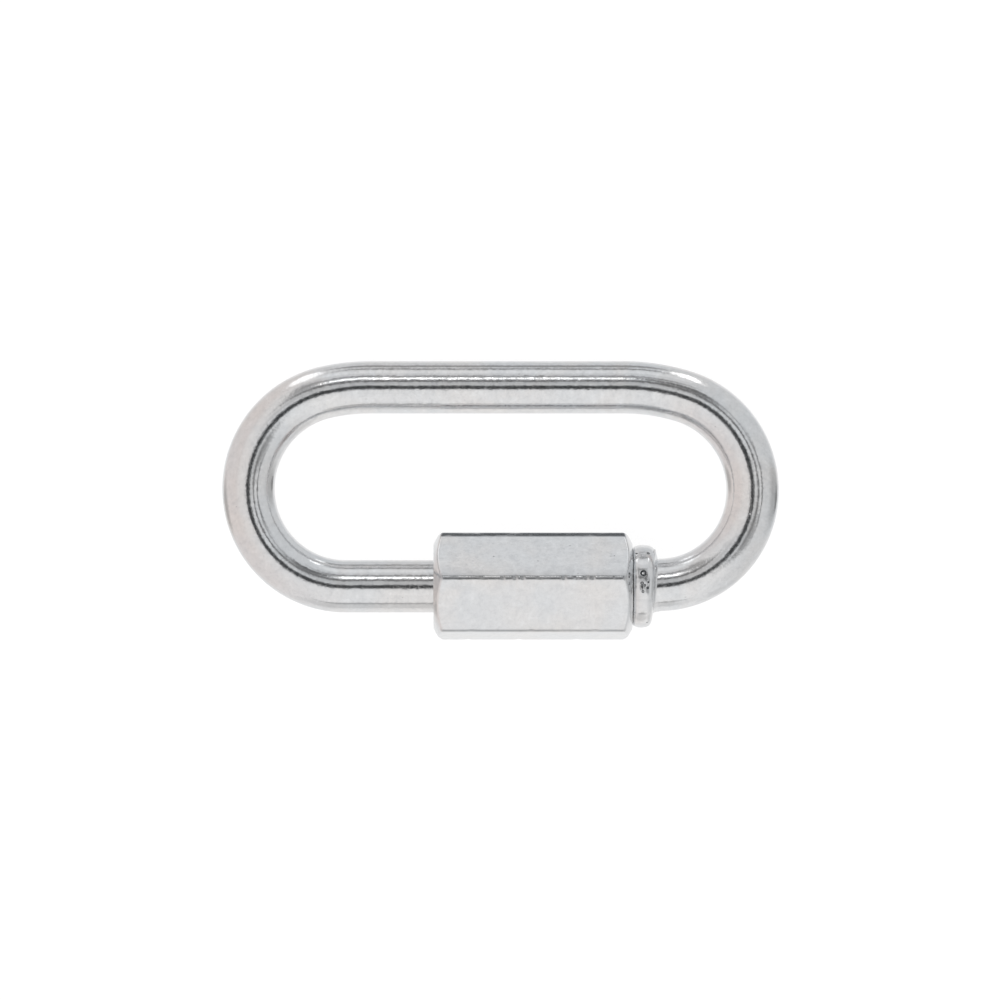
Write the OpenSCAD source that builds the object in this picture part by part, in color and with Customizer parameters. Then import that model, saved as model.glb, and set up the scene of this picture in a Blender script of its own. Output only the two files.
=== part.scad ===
// Oval threaded link with a hexagonal sleeve nut, lying on a table as it comes to rest.
// The link is one bent rod. Its frame has the plain side's centre line on X, and the gated
// side runs parallel to it on the -Y side. The whole link is then laid on Z = 0.

/* [Rod] */
// Diameter of the steel rod
rod_d = 4.76; // [4.4:0.02:5.4]
// Distance between the centre lines of the plain side and the gated side
axis_spacing = 18.04; // [17:0.02:20]

/* [Bends] */
// Radius of the shallow curve with which each bend leaves the plain side
shoulder_r = 18.4; // [14:0.1:24]
// Turn of the left bend's shallow curve, in degrees
left_shoulder_turn = 12.8; // [4:0.1:16]
// Turn of the right bend's shallow curve, in degrees
right_shoulder_turn = 17.1; // [4:0.1:20]
// Radius of the left bend's tight curve
left_bow_r = 8.97; // [8.4:0.01:9.8]
// Radius of the right bend's tight curve
right_bow_r = 8.91; // [8.4:0.01:9.8]
// Heading at which the tight curve gives way to the closing curve, in degrees
bow_end_turn = 100; // [96:0.1:112]

/* [Gate] */
// Clear gap between the two threaded ends when the nut is run back
gate_gap = 5.6; // [4.8:0.1:6]
// Length of the short threaded stub that stands on the collar
stub_len = 2.4; // [1.6:0.1:2.6]
// Plain rod left over between the open nut and the left bend
side_spare = 0; // [0:0.1:6]
// Diameter of both threaded ends, at half the thread's depth
thread_d = 4.3; // [4:0.02:4.36]
// Chamfer on the tips of both threaded ends
stud_chamfer = 0.4; // [0.1:0.05:0.8]
// Length of the cone where the long thread runs out into the plain rod
runout_len = 0.3; // [0.1:0.05:0.8]

/* [Collar] */
// Diameter of the collar
collar_d = 7.54; // [6.8:0.02:8.6]
// Length of the collar along the rod
collar_len = 2.22; // [1.9:0.02:3.2]
// Radius of the round shoulder on the collar's far side
collar_round_r = 1.3; // [0.4:0.05:1.3]
// Radius of the small round at the collar's seat
collar_edge_r = 0.25; // [0.1:0.05:0.4]

/* [Nut] */
// Size of the nut across its flats
nut_flats = 9.1; // [8.4:0.05:11]
// Length of the nut
nut_len = 18; // [17.4:0.1:24]
// Diameter of the flat ring on each end of the nut
nut_face_d = 7.7; // [7.2:0.1:8.2]
// Radius of the shallow dome turned on each end
nut_dome_r = 9.1; // [8:0.1:14]
// Turn of the tightened nut from a corner square out of the link, in degrees
nut_turn = 9.4; // [-25:0.05:25]
// Width of the bevel at the thread's mouth
mouth_bevel = 0.35; // [0.1:0.05:0.6]
// Length of the cone between the clearance bore and the thread
bore_step_len = 0.3; // [0.1:0.05:0.8]

/* [Clearances] */
// Radial clearance between the two threads
thread_clearance = 0.04; // [0.02:0.01:0.1]
// Radial clearance of the nut's unthreaded bore round the plain rod
rod_clearance = 0.12; // [0.08:0.01:0.3]
// Gap between the tightened nut and the collar
seat_gap = 0.02; // [0.01:0.01:0.1]
// How far the plain rod reaches inside the tightened nut
mouth_cover = 0.1; // [0.05:0.05:0.5]
// Gap left between the nut's thread and the end of the long thread when the nut is open
stop_gap = 0.1; // [0.05:0.05:0.5]

/* [Hidden] */
$fn = 96;
cut_over = 1;
// Two stretches of rod stop this far apart, and a ball this much larger than the rod joins them
seam_gap = 0.02;
seam_swell = 0.005;
// How far a stretch reaches inside a thicker one
seam_lap = 0.06;

rod_r = rod_d / 2;
collar_r = collar_d / 2;
thread_r = thread_d / 2;
bore_r = thread_r + thread_clearance;
rod_bore_r = rod_r + rod_clearance;
nut_corner_r = nut_flats / 2 / cos(30);
nut_travel = stub_len + gate_gap - seat_gap;
nut_thread_len = nut_len - nut_travel - mouth_cover - stop_gap;
long_thread_len = nut_thread_len + stop_gap;

// Horizontal and vertical parts of a direction that starts along +X and turns towards -Y
function ahead(turn) = [sin(turn), cos(turn)];

// How far the first two curves of a bend have come down from the plain side
function bend_drop(turn, bow_r) =
    shoulder_r * (1 - cos(turn)) + bow_r * (cos(turn) - cos(bow_end_turn));
// Radius that brings the rod back parallel, on the gated side's centre line
function closing_r(turn, bow_r) =
    (axis_spacing - bend_drop(turn, bow_r)) / (1 + cos(bow_end_turn));
// Centres of the three curves, from the point where the bend leaves the plain side
function shoulder_centre() = [0, -shoulder_r];
function bow_centre(turn, bow_r) =
    shoulder_centre() + (shoulder_r - bow_r) * ahead(turn);
function closing_centre(turn, bow_r) =
    bow_centre(turn, bow_r) + (bow_r - closing_r(turn, bow_r)) * ahead(bow_end_turn);
// How far the bend's outermost point lies beyond its end on the gated side
function bend_reach(turn, bow_r) =
    bow_centre(turn, bow_r)[0] + bow_r - closing_centre(turn, bow_r)[0];

// Places along X, with the loop's middle at 0
side_len = nut_travel + side_spare + nut_len + seat_gap + collar_len;
left_reach = bend_reach(left_shoulder_turn, left_bow_r);
right_reach = bend_reach(right_shoulder_turn, right_bow_r);
side_left_x = (left_reach - right_reach - side_len) / 2;
side_right_x = side_left_x + side_len;
seat_x = side_right_x - collar_len;
nut_right_x = seat_x - seat_gap;
nut_left_x = nut_right_x - nut_len;
stub_tip_x = seat_x - stub_len;
long_tip_x = stub_tip_x - gate_gap;
thread_end_x = long_tip_x - long_thread_len;
bar_left_x = side_left_x + closing_centre(left_shoulder_turn, left_bow_r)[0];
bar_right_x = side_right_x - closing_centre(right_shoulder_turn, right_bow_r)[0];

// Lean of the link when the plain side and the nut's corner at this turn both touch the table
function lean(corner_turn) =
    let (
        up = -nut_corner_r * cos(corner_turn),
        across = axis_spacing - nut_corner_r * sin(corner_turn)
    )
    acos(rod_r / norm([up, across])) - atan2(across, up);
rest_lean = max([for (k = [0:5]) lean(nut_turn + 60 * k)]);
nut_overhang = max([for (k = [0:5]) nut_corner_r * sin(60 * k - nut_turn - rest_lean)]);
bar_y = (axis_spacing * cos(rest_lean) + nut_overhang - rod_r) / 2;

// Lays what is drawn in the link's own frame on the table, leaning on the nut
module laid() {
    translate([0, bar_y, rod_r])
        rotate([-rest_lean, 0, 0])
            children();
}

// Turns a shape drawn along Z to run along +X from x, on the gated side's centre line
module on_gated_side(x) {
    translate([x, -axis_spacing, 0])
        rotate([0, 90, 0])
            children();
}

// Straight rod along X between two places on the plain side
module straight_rod(from_x, to_x) {
    translate([from_x, 0, 0])
        rotate([0, 90, 0])
            cylinder(h = to_x - from_x, r = rod_r);
}

// Turn, in degrees, that a curve of this radius makes over a length
function turn_over(len, r) = len / r * 180 / PI;

// One curve of the rod about its centre, from one heading to another
module rod_curve(centre, r, from_turn, to_turn) {
    translate(centre)
        rotate([0, 0, 90 - to_turn])
            rotate_extrude(angle = to_turn - from_turn)
                translate([r, 0])
                    circle(r = rod_r);
}

// Ball over a seam of the rod, with its axis along the rod
module seam_ball() {
    rotate([90, 0, 0])
        sphere(r = rod_r + seam_swell);
}

// Seam ball at one heading of a curve
module seam_on_curve(centre, r, turn) {
    translate(centre)
        rotate([0, 0, 90 - turn])
            translate([r, 0, 0])
                seam_ball();
}

// A whole bend: shallow shoulder, tight bow, and the curve that closes on the gated side
module bend(turn, bow_r, end_lap) {
    close_r = closing_r(turn, bow_r);
    shoulder_gap = turn_over(seam_gap, shoulder_r);
    rod_curve(shoulder_centre(), shoulder_r, shoulder_gap, turn - shoulder_gap);
    rod_curve(bow_centre(turn, bow_r), bow_r, turn, bow_end_turn);
    rod_curve(
        closing_centre(turn, bow_r),
        close_r,
        bow_end_turn + turn_over(seam_gap, close_r),
        180 + turn_over(end_lap, close_r)
    );
    seam_on_curve(shoulder_centre(), shoulder_r, 0);
    seam_on_curve(bow_centre(turn, bow_r), bow_r, turn);
    seam_on_curve(bow_centre(turn, bow_r), bow_r, bow_end_turn);
}

// Plain rod that steps down to the long thread and ends in a chamfered tip
module long_stud() {
    plain_len = thread_end_x - side_left_x;
    stud_len = long_tip_x - side_left_x;
    rotate_extrude()
        polygon([
            [0, 0],
            [rod_r, 0],
            [rod_r, plain_len - runout_len],
            [thread_r, plain_len],
            [thread_r, stud_len - stud_chamfer],
            [thread_r - stud_chamfer, stud_len],
            [0, stud_len]
        ]);
}

// Waste outside a round of radius r at a corner of a turned outline
module corner_waste(r) {
    difference() {
        square(r + cut_over);
        circle(r = r);
    }
}

// Collar upset on the rod: a square seat for the nut and a round shoulder behind it
module collar() {
    rotate_extrude()
        difference() {
            square([collar_r, collar_len]);
            translate([collar_r - collar_round_r, collar_len - collar_round_r])
                corner_waste(collar_round_r);
            translate([collar_r - collar_edge_r, collar_edge_r])
                mirror([0, 1])
                    corner_waste(collar_edge_r);
        }
}

// Short threaded stub with its chamfered tip
module stub() {
    rotate_extrude()
        polygon([
            [0, 0],
            [thread_r - stud_chamfer, 0],
            [thread_r, stud_chamfer],
            [thread_r, stub_len + seam_lap],
            [0, stub_len + seam_lap]
        ]);
}

// The bent rod, with its long threaded end, its collar and its stub
module link_body() {
    color("silver")
        laid() {
            straight_rod(bar_left_x, bar_right_x);
            translate([bar_right_x, 0, 0])
                bend(right_shoulder_turn, right_bow_r, seam_lap);
            translate([bar_left_x, 0, 0])
                mirror([1, 0, 0])
                    bend(left_shoulder_turn, left_bow_r, -seam_gap);
            on_gated_side(side_left_x) {
                sphere(r = rod_r + seam_swell);
                long_stud();
            }
            on_gated_side(stub_tip_x) stub();
            on_gated_side(seat_x) collar();
        }
}

// Waste that the lathe takes off round one end of the nut, outside its flat ring
module dome_waste() {
    dome_y = sqrt(pow(nut_dome_r, 2) - pow(nut_face_d / 2, 2));
    difference() {
        translate([0, -cut_over])
            square([nut_corner_r + 2 * cut_over, dome_y + cut_over]);
        translate([0, dome_y])
            circle(r = nut_dome_r);
    }
}

// Hexagonal bar of the nut with both ends turned to a shallow dome
module turned_hexagon() {
    intersection() {
        rotate([0, 0, -nut_turn])
            cylinder(h = nut_len, r = nut_corner_r, $fn = 6);
        rotate_extrude()
            difference() {
                square([nut_corner_r + cut_over, nut_len]);
                dome_waste();
                translate([0, nut_len])
                    mirror([0, 1])
                        dome_waste();
            }
    }
}

// Stepped hole through the nut: clearance bore from the left, thread at the collar end
module nut_hole() {
    clear_len = nut_len - nut_thread_len;
    rotate_extrude()
        polygon([
            [0, -cut_over],
            [rod_bore_r, -cut_over],
            [rod_bore_r, clear_len - bore_step_len],
            [bore_r, clear_len],
            [bore_r, nut_len - mouth_bevel],
            [bore_r + mouth_bevel, nut_len],
            [bore_r + mouth_bevel, nut_len + cut_over],
            [0, nut_len + cut_over]
        ]);
}

// Hexagonal sleeve nut that closes the gate
module hex_sleeve_nut() {
    color("gainsboro")
        laid()
            on_gated_side(nut_left_x)
                difference() {
                    turned_hexagon();
                    nut_hole();
                }
}

link_body();
hex_sleeve_nut();
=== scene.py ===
import bpy
import numpy as np
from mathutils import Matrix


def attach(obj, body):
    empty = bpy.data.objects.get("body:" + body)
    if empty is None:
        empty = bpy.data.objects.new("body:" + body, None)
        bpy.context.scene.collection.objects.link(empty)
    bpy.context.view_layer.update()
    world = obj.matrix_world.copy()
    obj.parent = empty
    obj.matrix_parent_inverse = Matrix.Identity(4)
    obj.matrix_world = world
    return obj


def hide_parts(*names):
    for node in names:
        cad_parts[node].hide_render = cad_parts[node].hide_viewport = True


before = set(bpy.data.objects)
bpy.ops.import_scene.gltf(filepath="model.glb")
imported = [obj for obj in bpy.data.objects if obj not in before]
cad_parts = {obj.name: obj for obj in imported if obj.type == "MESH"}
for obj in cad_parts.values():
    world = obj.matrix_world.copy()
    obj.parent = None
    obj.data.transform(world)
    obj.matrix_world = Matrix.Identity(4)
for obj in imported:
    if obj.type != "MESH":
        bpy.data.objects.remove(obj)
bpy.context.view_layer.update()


# The link: one length of drawn steel rod, bent round into an oval whose two ends face each
# other across a gap. A collar is upset near one end, and a right-hand thread is rolled on both
# ends. The whole link is tumbled and then plated with bright zinc. Sizes are in millimetres.
MM = 0.001
rod_r = 2.38
axis_spacing = 18.04
shoulder_r = 18.4
bow_r = {"left": 8.97, "right": 8.91}
shoulder_turn = {"left": np.radians(12.8), "right": np.radians(17.1)}
bow_end_turn = np.radians(100)
bar_len = 22.9425
long_end_x = 3.9588
bend_x = {"left": -14.0412, "right": 14.1788}
seat_x = 11.9588
stub_tip_x = 9.5588
rest_lean = np.radians(8.3618)
bar_y = 10.3014
collar_offset = 0.13
offset_fade = 11
collar_lean = 0.19
thread_full = 9.84
thread_out = 10.0
tip_flat_r = 1.72
groove_depth = 0.42
lip_height = 0.36
lip_at = 2.80
lip_half = 0.22
crown_r = 3.76


def closing_r(side):
    """Radius of the curve that brings a bend back parallel, from the drop still left:
    (spacing - drop) / (1 + cos(end turn))."""
    drop = shoulder_r * (1 - np.cos(shoulder_turn[side]))
    drop += bow_r[side] * (np.cos(shoulder_turn[side]) - np.cos(bow_end_turn))
    return (axis_spacing - drop) / (1 + np.cos(bow_end_turn))


# Stretches of the rod from the long threaded end round to the stub: length and turn of each
closing_turn = np.pi - bow_end_turn
bow_turn = {side: bow_end_turn - shoulder_turn[side] for side in ("left", "right")}
stretch_len = np.array([
    long_end_x - bend_x["left"],
    closing_r("left") * closing_turn,
    bow_r["left"] * bow_turn["left"],
    shoulder_r * shoulder_turn["left"],
    bar_len,
    shoulder_r * shoulder_turn["right"],
    bow_r["right"] * bow_turn["right"],
    closing_r("right") * closing_turn,
    bend_x["right"] - stub_tip_x,
])
stretch_turn = np.array([
    0,
    closing_turn,
    bow_turn["left"],
    shoulder_turn["left"],
    0,
    shoulder_turn["right"],
    bow_turn["right"],
    closing_turn,
    0,
])
stretch_start = np.concatenate([[0], np.cumsum(stretch_len)])
start_turn = np.pi - np.concatenate([[0], np.cumsum(stretch_turn)])


def along(length, turn, heading):
    """Step along a curve of one curvature: length * sin(h) / h in the heading halfway,
    where h is half of the turn."""
    half = turn / 2
    chord = length * np.sinc(half / np.pi)
    middle = heading - half
    return np.stack([chord * np.cos(middle), chord * np.sin(middle)], axis=-1)


stretch_place = np.array([long_end_x, -axis_spacing]) + np.concatenate([
    np.zeros((1, 2)),
    np.cumsum(along(stretch_len, stretch_turn, start_turn[:-1]), axis=0),
])
rod_len = stretch_start[-1]
seat_s = rod_len - (seat_x - stub_tip_x)
collar_s = rod_len - (bend_x["right"] - stub_tip_x)


def smooth(low, high, value):
    """Smooth step of value from 0 at low to 1 at high: t * t * (3 - 2 t)."""
    t = np.clip((value - low) / (high - low), 0, 1)
    return t * t * (3 - 2 * t)


def rod_line(s):
    """Centre line and heading at lengths s along the rod: the start of the stretch that s is
    in, plus the step along its curve. Behind the collar the line sits collar_offset inwards,
    and comes back out over offset_fade."""
    i = np.clip(np.searchsorted(stretch_start, s, side="right") - 1, 0, len(stretch_len) - 1)
    gone = s - stretch_start[i]
    turn = stretch_turn[i] * gone / stretch_len[i]
    heading = start_turn[i] - turn
    place = stretch_place[i] + along(gone, turn, start_turn[i])
    outwards = np.stack([-np.sin(heading), np.cos(heading)], axis=-1)
    behind = smooth(-0.4, 0.4, collar_s - s)
    fading = np.clip((s - collar_s + offset_fade) / offset_fade, 0, 1)
    jog = collar_offset * behind * fading**2
    return place - jog[:, None] * outwards, heading, outwards


def lay_down(points):
    """Link frame to the table: turned about X by the rest lean, then moved so that the plain
    side lies on the table at bar_y."""
    x, y, z = np.moveaxis(points, -1, 0)
    across = y * np.cos(rest_lean) + z * np.sin(rest_lean) + bar_y
    up = z * np.cos(rest_lean) - y * np.sin(rest_lean) + rod_r
    return np.stack([x, across, up], axis=-1)


# The thread: a V with flats, as shares of the pitch, on one helix for both ends and the nut
pitch = 0.8
crest_r = 2.36
root_r = 1.89
crest_flat = 1 / 8
root_flat = 1 / 4


def thread_depth(x, around):
    """Share of the full depth at place x and angle around +X: how far down its flank a point
    is, by its distance from the nearest crest in pitches, plus a small sine that eases the
    corners."""
    phase = np.mod(x / pitch - around / (2 * np.pi) + 0.5, 1) - 0.5
    flank = (1 - crest_flat - root_flat) / 2
    slope = np.clip((np.abs(phase) - crest_flat / 2) / flank, 0, 1)
    return slope + 0.12 * np.sin(np.pi * slope) * (slope - 0.5)


def spaced(*knots):
    """Runs of evenly spaced values through the knots (value, steps to the next value)."""
    runs = [
        np.linspace(a, b, n, endpoint=False)
        for (a, n), (b, _) in zip(knots[:-1], knots[1:])
    ]
    return np.concatenate(runs + [[knots[-1][0]]])


# The collar's outline: length behind the seat and radius, barrel-shaped with a worn crown
collar_outline = np.array([
    [0.00, 2.00], [0.00, 2.70], [0.00, 3.36], [0.03, 3.48], [0.09, 3.56], [0.18, 3.63],
    [0.32, 3.69], [0.50, 3.73], [0.75, 3.755], [1.00, 3.74], [1.20, 3.71], [1.36, 3.65],
    [1.50, 3.56], [1.61, 3.43], [1.69, 3.27], [1.75, 3.06], [1.79, 2.84], [1.82, 2.64],
    [1.86, 2.48], [1.96, 2.385],
])
collar_knots = np.linspace(0, 1, len(collar_outline))
collar_rows = np.linspace(0, 1, 77)[::-1]
collar_back = (1 + collar_lean) * np.interp(collar_rows, collar_knots, collar_outline[:, 0])
collar_r = np.interp(collar_rows, collar_knots, collar_outline[:, 1])

# Rows of the skin from the long end's tip to the stub's tip: length along the rod and radius
tip_s = np.array([0, 0, 0, 0.015, 0.04])
tip_r = np.array([0.5, 1.1, 1.6, 1.70, 1.76])
plain_s = spaced(
    (0.08, 130),
    (10.4, 24),
    (stretch_start[1], 46),
    (stretch_start[2], 60),
    (stretch_start[3], 14),
    (stretch_start[4], 60),
    (stretch_start[5], 18),
    (stretch_start[6], 56),
    (stretch_start[7], 46),
    (seat_s - 2.60, 1),
)
stub_s = spaced((seat_s + 0.04, 30), (rod_len - 0.08, 1))
row_s = np.concatenate([
    tip_s,
    plain_s,
    seat_s - collar_back,
    stub_s,
    rod_len - tip_s[::-1],
])
row_r = np.concatenate([
    tip_r,
    np.full(len(plain_s), rod_r),
    collar_r,
    np.full(len(stub_s), rod_r),
    tip_r[::-1],
])
columns = 96
row_angle = np.arange(columns) * 2 * np.pi / columns


def collar_skew(a):
    """The upset metal ran further back on the side next to the loop: 1 + lean * share, where
    share is (1 - cos a) / 2."""
    return 1 + collar_lean * (1 - np.cos(a)) / 2


def link_skin(s, r, a):
    """Points round the centre line at length s and angle a: centre + R * (cos a outwards +
    sin a up). R is the row's radius, less the thread's depth on the two ends and a groove
    next to the seat, cut to a 45 degree cone at each tip, with the flash lip left standing on
    the collar's inner side."""
    place, heading, outwards = rod_line(s)
    S, A = s[:, None], a[None, :]
    R = np.repeat(r[:, None], len(a), axis=1)
    from_tip = np.minimum(S, rod_len - S)
    X = place[:, :1]
    on_long_end = 1 - smooth(thread_full, thread_out, S)
    on_stub = smooth(seat_s + 0.15, seat_s + 0.5, S)
    past_tip = from_tip >= 0.05
    threaded = np.maximum(on_long_end, on_stub) * past_tip
    cut = threaded * (rod_r - crest_r + (crest_r - root_r) * thread_depth(X, np.pi - A))
    R = np.minimum(R - cut, np.where(past_tip, tip_flat_r + from_tip, R))
    groove = smooth(seat_s, seat_s + 0.12, S)
    groove = groove_depth * groove * (1 - smooth(seat_s + 0.3, seat_s + 0.6, S))
    thick = R > 2.0
    R = R - groove * thick
    back = (seat_s - S) / collar_skew(A)
    behind = (back > 0) & (back < 2.3)
    R = np.where(behind, np.interp(back, collar_outline[2:, 0], collar_outline[2:, 1]), R)
    lip = smooth(1.60, 1.74, back) * (1 - smooth(1.86, 1.95, back))
    off_lip = np.mod(A - lip_at + np.pi, 2 * np.pi) - np.pi
    lip = lip * np.exp(-(off_lip / lip_half) ** 2)
    R = R + lip_height * lip * (back > 0)
    flat = place[:, None, :] + R[..., None] * np.cos(A)[..., None] * outwards[:, None, :]
    high = R * np.sin(A)
    return np.concatenate([flat, high[..., None]], axis=-1), R


def closed_faces(rows, around, first):
    """Four-sided faces of a grid of rows whose columns close on themselves."""
    i, j = np.meshgrid(np.arange(rows - 1), np.arange(around), indexing="ij")
    k = (j + 1) % around
    corners = [i * around + j, i * around + k, (i + 1) * around + k, (i + 1) * around + j]
    return first + np.stack(corners, axis=-1).reshape(-1, 4)


def make_piece(name, points, faces, sharp_deg):
    """Mesh object with its place in its mesh, smooth but for edges sharper than sharp_deg."""
    mesh = bpy.data.meshes.new(name)
    mesh.from_pydata(points * MM, [], faces)
    mesh.validate()
    mesh.shade_smooth()
    mesh.set_sharp_from_angle(angle=np.radians(sharp_deg))
    piece = bpy.data.objects.new(name, mesh)
    bpy.context.scene.collection.objects.link(piece)
    return piece


def give_places(piece, name, values):
    """Place of each point on the piece's own skin, kept in metres as a vector attribute."""
    layer = piece.data.attributes.new(name, "FLOAT_VECTOR", "POINT")
    layer.data.foreach_set("vector", np.ascontiguousarray(values * MM, np.float32).ravel())


skin, skin_r = link_skin(row_s, row_r, row_angle)
ends, _, _ = rod_line(np.array([0, rod_len]))
poles = np.column_stack([ends, np.zeros(2)])
link_points = lay_down(np.concatenate([poles[:1], skin.reshape(-1, 3), poles[1:]]))
rows = len(row_s)
grid_faces = closed_faces(rows, columns, 1)
step = np.arange(columns)
after = (step + 1) % columns
last = 1 + (rows - 1) * columns
first_fan = np.stack([np.zeros(columns, int), 1 + after, 1 + step], axis=-1)
last_fan = np.stack([np.full(columns, last + columns), last + step, last + after], axis=-1)
link_faces = grid_faces.tolist() + first_fan.tolist() + last_fan.tolist()
link = make_piece("bent_link", link_points, link_faces, 40)

# Place on the drawn skin, for marks that run along the rod: round the rod, then along it
turned = np.stack([
    skin_r * np.cos(row_angle),
    skin_r * np.sin(row_angle),
    np.repeat(row_s[:, None], columns, axis=1),
], axis=-1)
drawn = np.concatenate([[[0, 0, 0]], turned.reshape(-1, 3), [[0, 0, rod_len]]])
give_places(link, "drawn", drawn)


class Bench:
    """Short way to add and join shader nodes in one tree."""

    def __init__(self, tree):
        self.tree = tree

    def node(self, kind, settings=None, **values):
        """One node: settings are its own options, values its sockets, by number or name."""
        made = self.tree.nodes.new(kind)
        for key, value in (settings or {}).items():
            setattr(made, key, value)
        for key, value in values.items():
            by_number = key[0] == "i" and key[1:].isdigit()
            self.plug(made.inputs[int(key[1:]) if by_number else key], value)
        return made

    def plug(self, socket, value):
        """Link a socket to another node's result, or set its value."""
        if isinstance(value, bpy.types.NodeSocket):
            self.tree.links.new(value, socket)
        elif value is not None:
            socket.default_value = value

    def sum(self, what, a, b=None):
        """Result of one arithmetic step."""
        made = self.node("ShaderNodeMath", {"operation": what}, i0=a, i1=b)
        return made.outputs[0]

    def ramp(self, value, low, high, at_low=0.0, at_high=1.0):
        """Smooth step of a value from at_low to at_high."""
        made = self.node(
            "ShaderNodeMapRange",
            {"interpolation_type": "SMOOTHSTEP"},
            i0=value, i1=low, i2=high, i3=at_low, i4=at_high,
        )
        return made.outputs[0]

    def blend(self, share, a, b):
        """Colour a where share is 0 and b where it is 1."""
        made = self.node("ShaderNodeMix", {"data_type": "RGBA"})
        self.plug(made.inputs["Factor"], share)
        self.plug(made.inputs[6], a)
        self.plug(made.inputs[7], b)
        return made.outputs[2]

    def noise(self, place, scale, detail=2.0, rough=0.5, twist=0.0):
        """Cloudy noise from 0 to 1."""
        made = self.node("ShaderNodeTexNoise", {}, Vector=place, Scale=scale, Detail=detail)
        self.plug(made.inputs["Roughness"], rough)
        self.plug(made.inputs["Distortion"], twist)
        return made.outputs[0]

    def stretched(self, place, scale, turn=(0, 0, 0)):
        """Place drawn out or squeezed along each axis, for marks with a direction."""
        made = self.node("ShaderNodeMapping", {}, Vector=place, Scale=scale, Rotation=turn)
        return made.outputs[0]

    def raised(self, height, distance, onto=None):
        """Bump of a height, in metres, on top of another bump."""
        made = self.node("ShaderNodeBump", {}, Strength=1.0, Distance=distance, Height=height)
        self.plug(made.inputs["Normal"], onto)
        return made.outputs[0]


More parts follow.
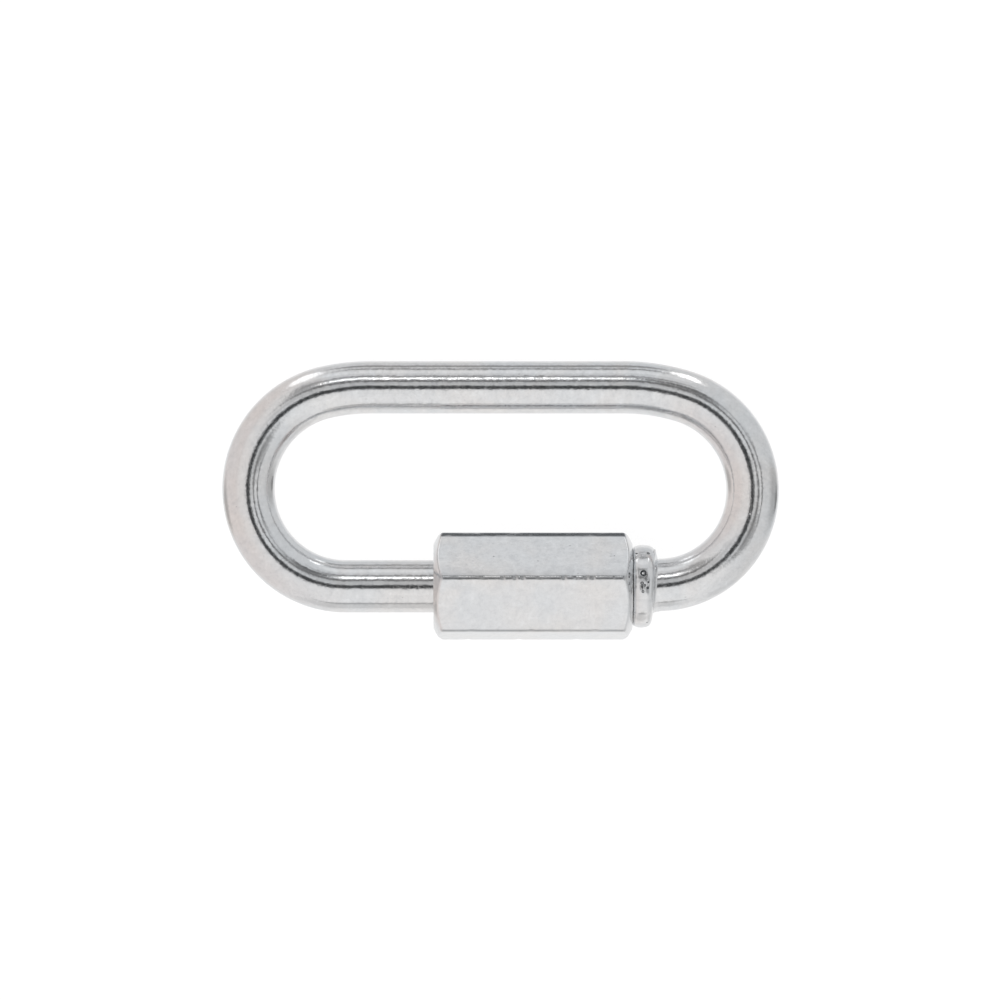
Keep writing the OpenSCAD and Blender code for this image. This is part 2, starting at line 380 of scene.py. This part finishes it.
def bright_zinc(name, run, run_scale, relief=1.0, edge=None, pits=()):
    """Bright zinc plating on steel. A fine crystal grain and marks along run make the crisp
    reflections ragged, faint clouds shift it between cool and warm, small pits and hairline
    scratches mark it, and where edge is 1 the colour is darkened, partly plating worn thin and
    partly painted shade and painted dark reflection. relief scales the height of the grain.
    pits are single craters as (x, y, z, radius) in metres, each with painted shade, a dark
    ring on its wall, round its floor."""
    mat = bpy.data.materials.new(name)
    mat.use_nodes = True
    bench = Bench(mat.node_tree)
    shader = mat.node_tree.nodes["Principled BSDF"]
    place = bench.node("ShaderNodeTexCoord").outputs["Object"]
    way = bench.node("ShaderNodeAttribute", {"attribute_name": run}).outputs["Vector"]

    grain = bench.noise(place, 3300, 3.0, 0.62)
    bloom = bench.noise(place, 1350, 3.0, 0.62, 0.3)
    marks = bench.noise(bench.stretched(way, run_scale), 1.0, 3.0, 0.6)
    clouds = bench.noise(place, 210, 3.0, 0.55, 0.4)
    hair = bench.noise(bench.stretched(place, (2600, 260, 700), (0.3, 0.2, 0.7)), 1.0, 1.0)
    off_middle = bench.sum("ABSOLUTE", bench.sum("SUBTRACT", hair, 0.5))
    hairline = bench.ramp(off_middle, 0.0, 0.006, 1, 0)
    hairline = bench.sum("MULTIPLY", hairline, bench.ramp(clouds, 0.5, 0.62))
    cells = bench.node("ShaderNodeTexVoronoi", {}, Vector=place, Scale=1300.0).outputs["Distance"]
    speck = bench.sum(
        "MULTIPLY",
        bench.ramp(cells, 0.04, 0.16, 1, 0),
        bench.ramp(bench.noise(place, 520, 1.0), 0.60, 0.66),
    )
    crater = None
    ring = None
    for x, y, z, r in pits:
        gap = bench.node(
            "ShaderNodeVectorMath", {"operation": "DISTANCE"}, i0=place, i1=(x, y, z)
        ).outputs["Value"]
        bowl = bench.ramp(gap, r * 0.35, r, 1, 0)
        wall_inside = bench.ramp(gap, r * 0.25, r * 0.5)
        wall_outside = bench.ramp(gap, r * 0.75, r * 1.05, 1, 0)
        pit_wall_shade = bench.sum("MULTIPLY", wall_inside, wall_outside)
        crater = bowl if crater is None else bench.sum("MAXIMUM", crater, bowl)
        ring = pit_wall_shade if ring is None else bench.sum("MAXIMUM", ring, pit_wall_shade)

    cool = (0.747, 0.759, 0.772, 1)
    warm = (0.780, 0.766, 0.757, 1)
    dulled = (0.50, 0.51, 0.53, 1)
    bright = (0.90, 0.91, 0.92, 1)
    speck_grey = (0.30, 0.31, 0.32, 1)
    # Dark grey for the nut's edges: worn plating and painted shade together
    wear_and_shade_grey = (0.17, 0.18, 0.19, 1)
    # Near black painted shade for the walls of the pits
    pit_shade_black = (0.05, 0.055, 0.06, 1)
    colour = bench.blend(bench.ramp(clouds, 0.32, 0.72), cool, warm)
    colour = bench.blend(bench.ramp(grain, 0.40, 0.72, 0.0, 0.12), colour, dulled)
    colour = bench.blend(bench.ramp(bloom, 0.46, 0.74, 0.0, 0.22), colour, dulled)
    colour = bench.blend(bench.ramp(marks, 0.56, 0.76, 0.0, 0.20), colour, dulled)
    colour = bench.blend(bench.ramp(bloom, 0.46, 0.26, 0.0, 0.30), colour, bright)
    colour = bench.blend(bench.sum("MULTIPLY", hairline, 0.25), colour, dulled)
    colour = bench.blend(bench.sum("MULTIPLY", speck, 0.30), colour, speck_grey)
    grain_rough = bench.ramp(grain, 0.25, 0.75, 0.055, 0.13)
    rough = bench.sum("ADD", grain_rough, bench.ramp(bloom, 0.3, 0.7, 0.0, 0.04))
    rough = bench.sum("ADD", rough, bench.sum("MULTIPLY", speck, 0.2))
    # Where edge is set the colour goes dark grey: partly worn plating, partly painted shade and
    # painted reflection
    if edge is not None:
        wear_and_shade = bench.node("ShaderNodeAttribute", {"attribute_name": edge}).outputs["Fac"]
        patchy = bench.noise(bench.stretched(place, (420, 1500, 1500)), 1.0, 3.0, 0.6)
        wear_and_shade = bench.sum("MULTIPLY", wear_and_shade, bench.ramp(patchy, 0.26, 0.50, 0.35, 1.0))
        colour = bench.blend(wear_and_shade, colour, wear_and_shade_grey)
        rough = bench.sum("ADD", rough, bench.sum("MULTIPLY", wear_and_shade, 0.12))
    # Painted shade: a dark ring on each pit's wall
    if ring is not None:
        colour = bench.blend(ring, colour, pit_shade_black)
    bench.plug(shader.inputs["Base Color"], colour)
    bench.plug(shader.inputs["Roughness"], rough)
    shader.inputs["Metallic"].default_value = 1.0

    bump = bench.raised(marks, 5.0e-6 * relief)
    bump = bench.raised(bloom, 1.4e-5 * relief, bump)
    bump = bench.raised(grain, 6.5e-6 * relief, bump)
    bump = bench.raised(bench.sum("SUBTRACT", 1.0, hairline), 1.2e-6, bump)
    bump = bench.raised(bench.sum("SUBTRACT", 1.0, speck), 6.0e-6, bump)
    if crater is not None:
        bump = bench.raised(bench.sum("SUBTRACT", 1.0, crater), 9.0e-5, bump)
    bench.plug(shader.inputs["Normal"], bump)
    return mat


def on_collar(back, tilt_deg, radius):
    """A crater on the collar: length behind the seat, tilt from the link's upper face towards
    the plain side."""
    tilt = np.radians(tilt_deg)
    centre = np.array([
        seat_x + back,
        -axis_spacing + crown_r * np.sin(tilt),
        crown_r * np.cos(tilt),
    ])
    x, y, z = lay_down(centre) * MM
    return x, y, z, radius * MM


link_zinc = bright_zinc(
    "bright_zinc_link",
    "drawn",
    (1500, 1500, 45),
    pits=(
        on_collar(0.93, 19.0, 0.34),
        on_collar(0.80, 5.0, 0.17),
        on_collar(1.05, 2.0, 0.14),
        on_collar(1.32, -1.5, 0.16),
        on_collar(1.40, 6.5, 0.13),
        on_collar(0.88, -6.5, 0.14),
        on_collar(0.30, 54.0, 0.16),
        on_collar(1.40, 54.0, 0.18),
        on_collar(1.30, -62.0, 0.12),
    ),
)
link.data.materials.append(link_zinc)
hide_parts("link_body")
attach(link, "link")


# The sleeve nut: hexagonal steel bar, bored and threaded from the collar end and bored to
# clear the rod from the other, with both ends turned to a shallow dome. It is zinc plated,
# and the plating is nicked and worn along its six edges, where a spanner has been; the dark
# colour along the edges is partly that wear and partly painted shade and painted reflection.
nut_flats = 9.1
nut_len = 18.0
nut_x = -6.0612
nut_face_r = 3.85
nut_dome_r = 9.1
nut_turn = np.radians(9.4)
edge_round = 0.62
crease_round = 0.16
mouth_r = 2.54
bore_r = 2.5
step_at = 7.88
mouth_ring_r = 2.72
thread_from = 0.50
thread_play = 0.06
nut_crest_r = 1.97
nut_root_r = 2.41

# One sixth of the outline: a flat and the rounded edge after it, repeated six times
flat_a = nut_flats / 2
edge_centre = (flat_a - edge_round) / np.cos(np.pi / 6)
flat_half = (flat_a - edge_round) * np.tan(np.pi / 6)
flat_stops = np.array([-1, -0.97, -0.9, -0.7, -0.45, -0.15, 0.15, 0.45, 0.7, 0.9, 0.97, 1])
edge_stops = np.linspace(-np.pi / 6, np.pi / 6, 9)[1:-1]
flat_part = np.column_stack([np.full(len(flat_stops), flat_a), flat_half * flat_stops])
edge_part = np.column_stack([
    edge_centre * np.cos(np.pi / 6) + edge_round * np.cos(np.pi / 6 + edge_stops),
    edge_centre * np.sin(np.pi / 6) + edge_round * np.sin(np.pi / 6 + edge_stops),
])
sixth = np.concatenate([flat_part, edge_part])
turns = np.arange(6) * np.pi / 3
outline = np.concatenate([
    sixth @ np.array([[np.cos(t), np.sin(t)], [-np.sin(t), np.cos(t)]]) for t in turns
])
# How far the edges are darkened, across an edge and on each of the six edges: partly worn plating,
# partly painted shade and painted dark reflection
edge_wear_and_shade = np.array([0.1, 0.5, 0.9, 1.0, 0.9, 0.5, 0.1])
wear_and_shade_by_edge = np.array([0.45, 1.0, 0.9, 0.9, 0.9, 0.38])
wear_and_shade_share = np.concatenate([
    np.concatenate([np.zeros(len(flat_stops)), edge_wear_and_shade * wear]) for wear in wear_and_shade_by_edge
])
# Beside the first edge, the uppermost, painted shade fades in over the flat towards the loop
second_flat = len(flat_stops) + len(edge_wear_and_shade)
wear_and_shade_share[second_flat - 2:second_flat + 4] = [0.5, 0.32, 0.26, 0.22, 0.12, 0.04]
# The second edge, towards the loop, is painted dark with shade over its whole width and a little
# beside it
second_edge = second_flat + len(flat_stops)
wear_and_shade_share[second_edge - 2:second_edge + len(edge_wear_and_shade) + 1] = 1.0
hex_r = np.hypot(outline[:, 0], outline[:, 1])
hex_angle = np.arctan2(outline[:, 1], outline[:, 0])
dome_x = np.sqrt(nut_dome_r**2 - nut_face_r**2)


def dome_back(r):
    """How far the dome stands behind the end face at radius r: sqrt(D^2 - f^2) - sqrt(D^2 - r^2)."""
    return dome_x - np.sqrt(nut_dome_r**2 - r**2)


def bowed(a, b, c, share):
    """Curve from a to c that bows towards b: (1-t)^2 a + 2 t (1-t) b + t^2 c."""
    return (1 - share) ** 2 * a + 2 * share * (1 - share) * b + share**2 * c


# Nicks along the edges: place along the nut, which edge, length, depth, given one by one. A nick
# is deepest on its edge and dies out over nick_spread, as 1 less the cosine of the angle.
nick_spread = 0.0035
nicks = np.array([
    [2.2, 0, 0.40, 0.015], [4.6, 0, 0.35, 0.02], [6.3, 0, 0.12, 0.05], [7.4, 0, 0.14, 0.07],
    [8.1, 0, 0.12, 0.06], [9.6, 0, 0.30, 0.02], [11.8, 0, 0.13, 0.06], [12.9, 0, 0.20, 0.03],
    [13.8, 0, 0.16, 0.06], [14.4, 0, 0.12, 0.05], [16.5, 0, 0.35, 0.015], [3.4, 5, 0.30, 0.03],
    [8.8, 5, 0.26, 0.04], [14.6, 5, 0.30, 0.03], [4.6, 2, 0.25, 0.07], [11.2, 2, 0.30, 0.06],
    [5.5, 3, 0.28, 0.07], [12.6, 3, 0.24, 0.05], [3.1, 4, 0.26, 0.06], [7.7, 4, 0.22, 0.07],
    [13.0, 4, 0.30, 0.05],
])


def nut_skin():
    """Rows of the nut's skin from the left mouth round the outside and back through the bore.
    For each angle of the outline: ring, dome up to that angle's radius, a bowed crease, the
    flat or edge, and the same mirrored; then the thread and the clearance bore."""
    ones = np.ones(len(hex_r))
    angle = hex_angle - np.pi / 6 + nut_turn
    crease = np.minimum(crease_round, 0.5 * (hex_r - nut_face_r))
    low_r = hex_r - crease * np.cos(np.pi / 6)
    ring = np.linspace(mouth_ring_r, nut_face_r, 6)[:, None] * ones
    dome = nut_face_r + np.linspace(0, 1, 9)[1:, None] * (low_r - nut_face_r)
    bow = np.linspace(0, 1, 6)[1:, None]
    start = (dome_back(low_r), low_r)
    corner = (dome_back(hex_r), hex_r)
    finish = (dome_back(hex_r) + crease, hex_r)
    bow_x = bowed(start[0], corner[0], finish[0], bow)
    bow_r = bowed(start[1], corner[1], finish[1], bow)
    end_x = np.concatenate([0 * ring, dome_back(dome), bow_x])
    end_r = np.concatenate([ring, dome, bow_r])
    share = np.linspace(0, 1, 170)[1:-1, None]
    side_x = finish[0] + share * (nut_len - 2 * finish[0])
    side_r = hex_r * np.ones((len(share), 1))
    edge_angle = np.radians(60 * nicks[:, 1] + 30)
    near_edge = np.cos(hex_angle[None, :, None] - edge_angle)
    reach = np.exp(-((1 - near_edge) / nick_spread))
    beside = (side_x[:, :, None] - nicks[:, 0]) / nicks[:, 2]
    dent = nicks[:, 3] * reach * np.exp(-(beside**2))
    side_r = side_r - dent.sum(axis=-1)

    mouth_x = nut_len - np.array([0, 0.02, 0.12, 0.24, 0.35])[:, None] * ones
    mouth_r_right = np.array([2.60, 2.55, 2.46, 2.43, nut_root_r])[:, None] * ones
    thread_x = np.linspace(nut_len - thread_from, step_at + 0.32, 124)[:, None] * ones
    world_x = nut_x + thread_x
    # The nut's thread is the rod's own form on the same helix, with a little play
    male = crest_r - (crest_r - root_r) * thread_depth(world_x, round_x(angle))
    thread_r = np.clip(male + thread_play, nut_crest_r, nut_root_r)
    step_x = np.array([step_at + 0.24, step_at + 0.12, step_at, step_at - 0.3])[:, None] * ones
    step_r = np.array([2.40, 2.45, bore_r, bore_r])[:, None] * ones
    bore_x = np.linspace(step_at - 1.0, 0.3, 12)[:, None] * ones
    clear_r = bore_r * np.ones((12, 1)) * ones
    lip_x = np.array([0.12, 0.03, 0.0])[:, None] * ones
    lip_r = np.array([mouth_r, 2.60, 2.68])[:, None] * ones
    x = [end_x, side_x, nut_len - end_x[::-1], mouth_x, thread_x, step_x, bore_x, lip_x]
    r = [end_r, side_r, end_r[::-1], mouth_r_right, thread_r, step_r, clear_r, lip_r]
    return np.concatenate(x), np.concatenate(r), angle


def round_x(angle):
    """Angle about +X, from +Y towards +Z, of a point that stands at angle from straight up
    towards +Y in the link's frame."""
    return np.pi / 2 - angle


nut_rows_x, nut_rows_r, nut_angle = nut_skin()
nut_grid = np.stack([
    nut_x + nut_rows_x,
    -axis_spacing + nut_rows_r * np.sin(nut_angle),
    nut_rows_r * np.cos(nut_angle),
], axis=-1)
nut_count = nut_grid.shape[0]
around = nut_grid.shape[1]
# The last row joins the first again, so the skin closes through the bore
nut_faces = closed_faces(nut_count + 1, around, 0) % (nut_count * around)
nut = make_piece("sleeve_nut", lay_down(nut_grid.reshape(-1, 3)), nut_faces[:, ::-1].tolist(), 32)

# Place on the milled skin, for marks that run along the nut
marks_way = np.stack([
    nut_rows_r * np.cos(nut_angle),
    nut_rows_r * np.sin(nut_angle),
    np.repeat(nut_rows_x[:, :1], around, axis=1),
], axis=-1)
give_places(nut, "milled", marks_way.reshape(-1, 3))
# The wear and painted shade stay on the outside and fade out at the turned ends
on_side = smooth(0.5, 0.8, nut_rows_x) * (1 - smooth(nut_len - 0.8, nut_len - 0.5, nut_rows_x))
on_side = on_side * (nut_rows_r > 4.3)
wear_and_shade = wear_and_shade_share[None, :] * on_side
wear_and_shade_layer = nut.data.attributes.new("wear_and_shade_edge", "FLOAT", "POINT")
wear_and_shade_layer.data.foreach_set("value", np.ascontiguousarray(wear_and_shade, np.float32).ravel())
nut_zinc = bright_zinc("bright_zinc_nut", "milled", (900, 900, 30), relief=0.6, edge="wear_and_shade_edge")
nut.data.materials.append(nut_zinc)
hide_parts("hex_sleeve_nut")
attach(nut, "sleeve")


# The studio: a plain pale table, and round it the soft boxes, one thin strip light and the
# dark camera overhead that the polished plating mirrors.
table_half = 1.5
table_drop = 0.00001
corners = [(-1, -1), (1, -1), (1, 1), (-1, 1)]
table_mesh = bpy.data.meshes.new("pale_table")
table_mesh.from_pydata(
    [(table_half * x, table_half * y, -table_drop) for x, y in corners],
    [],
    [(0, 1, 2, 3)],
)
table = bpy.data.objects.new("pale_table", table_mesh)
bpy.context.scene.collection.objects.link(table)
table_paint = bpy.data.materials.new("pale_table_paint")
table_paint.use_nodes = True
table_paint.node_tree.nodes.clear()
bench = Bench(table_paint.node_tree)
matt = bench.node("ShaderNodeBsdfDiffuse", {}, Color=(0.30, 0.30, 0.30, 1))
glow = bench.node("ShaderNodeEmission", {}, Color=(1.0, 1.0, 1.0, 1), Strength=0.85)
lit = bench.node("ShaderNodeAddShader", {}, i0=matt.outputs[0], i1=glow.outputs[0])
# Rays that the plating mirrors pass through the table
clear = bench.node("ShaderNodeBsdfTransparent", {})
path = bench.node("ShaderNodeLightPath", {})
seen = bench.node(
    "ShaderNodeMixShader", {},
    i0=path.outputs["Is Glossy Ray"], i1=lit.outputs[0], i2=clear.outputs[0],
)
bench.node("ShaderNodeOutputMaterial", {}, i0=seen.outputs[0])
table.data.materials.append(table_paint)

world = bpy.data.worlds.new("studio")
bpy.context.scene.world = world
world.use_nodes = True
world.node_tree.nodes.clear()
bench = Bench(world.node_tree)
# Each direction in the link's frame, as degrees off its normal to the right and ahead
sky = bench.node("ShaderNodeTexCoord").outputs["Generated"]
sky = bench.stretched(sky, (1, 1, 1), (rest_lean, 0, 0))
sky_x, sky_y, sky_z = bench.node("ShaderNodeSeparateXYZ", {}, i0=sky).outputs
steep = bench.sum("MINIMUM", bench.sum("MAXIMUM", sky_z, -0.99999), 0.99999)
off_top = bench.sum("MULTIPLY", bench.sum("ARCCOSINE", steep), 180 / np.pi)
steep_square = bench.sum("MULTIPLY", steep, steep)
flat_len = bench.sum("SQRT", bench.sum("SUBTRACT", 1.0, steep_square))
flat_len = bench.sum("MAXIMUM", flat_len, 1e-4)
right = bench.sum("DIVIDE", bench.sum("MULTIPLY", off_top, sky_x), flat_len)
ahead = bench.sum("DIVIDE", bench.sum("MULTIPLY", off_top, sky_y), flat_len)
sky_place = bench.node("ShaderNodeCombineXYZ", {}, i0=right, i1=ahead).outputs[0]


def board_at(right_deg, ahead_deg, half_w, half_h, soft, turn_deg):
    """Share of a soft-edged oval board, in degrees off the camera to the right and ahead."""
    spread = bench.node(
        "ShaderNodeMapping", {"vector_type": "TEXTURE"},
        Vector=sky_place,
        Location=(right_deg, ahead_deg, 0),
        Rotation=(0, 0, np.radians(turn_deg)),
        Scale=(half_w, half_h, 1),
    ).outputs[0]
    out = bench.node("ShaderNodeVectorMath", {"operation": "LENGTH"}, i0=spread).outputs["Value"]
    return bench.ramp(out, 1 - soft, 1 + soft, 1, 0)


def grey(level, warm=0.0):
    """Light of one brightness, a little warm above 0 or cool below it."""
    return (level * (1 + warm), level, level * (1 - warm), 1)


# Boards in the order they hang: right, ahead, half width, half height, softness of the edge,
# turn, share that covers what is behind, brightness, warmth
boards = [
    (112, -4, 28, 28, 0.5, 0, 0.75, 0.42, 0.0),
    (128, -9, 11, 12, 0.5, 0, 0.8, 0.20, 0.0),
    (74, -100, 30, 16, 0.5, 0, 0.30, 0.50, 0.0),
    (-124, -18, 16, 26, 0.5, 0, 0.65, 0.36, 0.02),
    (-8, -99, 34, 15, 0.5, 0, 0.50, 0.52, 0.0),
    (0, -82, 22, 4.5, 0.5, 0, 0.85, 0.40, 0.0),
    (2, 105, 24, 7, 0.4, 0, 0.90, 0.30, 0.0),
    (3, 87, 18, 3.6, 0.5, 0, 0.95, 0.24, 0.0),
    (0, 71, 26, 8, 0.4, 0, 0.9, 0.90, -0.01),
    (-34, 24, 17, 42, 0.6, 0, 0.5, 0.90, 0.01),
    (-36, 88, 13, 16, 0.35, 0, 1.0, 1.45, 0.0),
    (31, 89, 7.5, 14, 0.30, 0, 1.0, 2.0, 0.0),
    (14, 36, 12, 6.0, 0.5, -21, 0.92, 0.12, 0.0),
    (34, 20, 12, 3.0, 0.5, -60, 0.55, 0.15, 0.0),
    (-4, 16, 18, 5, 0.5, 0, 0.35, 0.25, 0.0),
    (-20, 42, 7, 14, 0.6, 20, 0.75, 0.28, 0.0),
    (0, 48.3, 20, 3.0, 0.6, 0, 0.9, 0.20, 0.0),
    (0, 27, 22, 4.6, 0.6, 0, 0.95, 0.14, 0.0),
    (25, -12, 15, 8, 0.5, -30, 0.75, 0.24, 0.0),
    (41, 2, 3.0, 22, 0.5, 0, 0.85, 0.14, 0.0),
    (-1.2, -1.4, 9.3, 9.0, 0.45, 0, 0.98, 0.04, -0.05),
    (-3.7, 38, 6.2, 2.0, 0.25, 0, 1.0, 3.2, 0.0),
]
# Walls round the link, a little pink on the left, and a dark arc to the right of the camera
light = bench.blend(bench.ramp(sky_y, -0.6, 0.5), grey(0.95), grey(0.74, -0.018))
rosy = (0.82, 0.753, 0.728, 1)
light = bench.blend(bench.ramp(sky_x, 0.2, -0.95, 0, 0.8), light, rosy)
light = bench.blend(bench.ramp(sky_x, 0.2, 0.9, 0, 0.9), light, grey(0.73, -0.01))
arc_off_top = 24.0
off_arc = bench.sum("ABSOLUTE", bench.sum("SUBTRACT", off_top, arc_off_top))
arc = bench.ramp(off_arc, 1.5, 6, 0.92, 0)
arc = bench.sum("MULTIPLY", arc, bench.ramp(right, 3, 10))
arc = bench.sum("MULTIPLY", arc, bench.ramp(ahead, -18, -8))
light = bench.blend(arc, light, grey(0.14))
for right_deg, ahead_deg, half_w, half_h, soft, turn_deg, share, brightness, warm in boards:
    cover = board_at(right_deg, ahead_deg, half_w, half_h, soft, turn_deg)
    light = bench.blend(bench.sum("MULTIPLY", cover, share), light, grey(brightness, warm))
# The light from below is plain, and so is what the camera sees past the table
light = bench.blend(bench.ramp(off_top, 130, 150), light, grey(0.92))
path = bench.node("ShaderNodeLightPath", {})
light = bench.blend(path.outputs["Is Camera Ray"], light, grey(0.93))
sky_light = bench.node("ShaderNodeBackground", {}, Color=light)
bench.node("ShaderNodeOutputWorld", {}, i0=sky_light.outputs[0])

# The camera looks along the link's own normal; its place is in the link's frame
camera_place = np.array([-0.05, -10.22, 629.6])
camera_data = bpy.data.cameras.new("camera")
camera_data.lens = 250
camera_data.sensor_width = 36
camera_data.clip_start = 0.01
camera_data.clip_end = 10
camera = bpy.data.objects.new("camera", camera_data)
camera.location = lay_down(camera_place) * MM
camera.rotation_euler = (-rest_lean, 0, 0)
bpy.context.scene.collection.objects.link(camera)
bpy.context.scene.camera = camera
bpy.context.scene.view_settings.view_transform = "Standard"
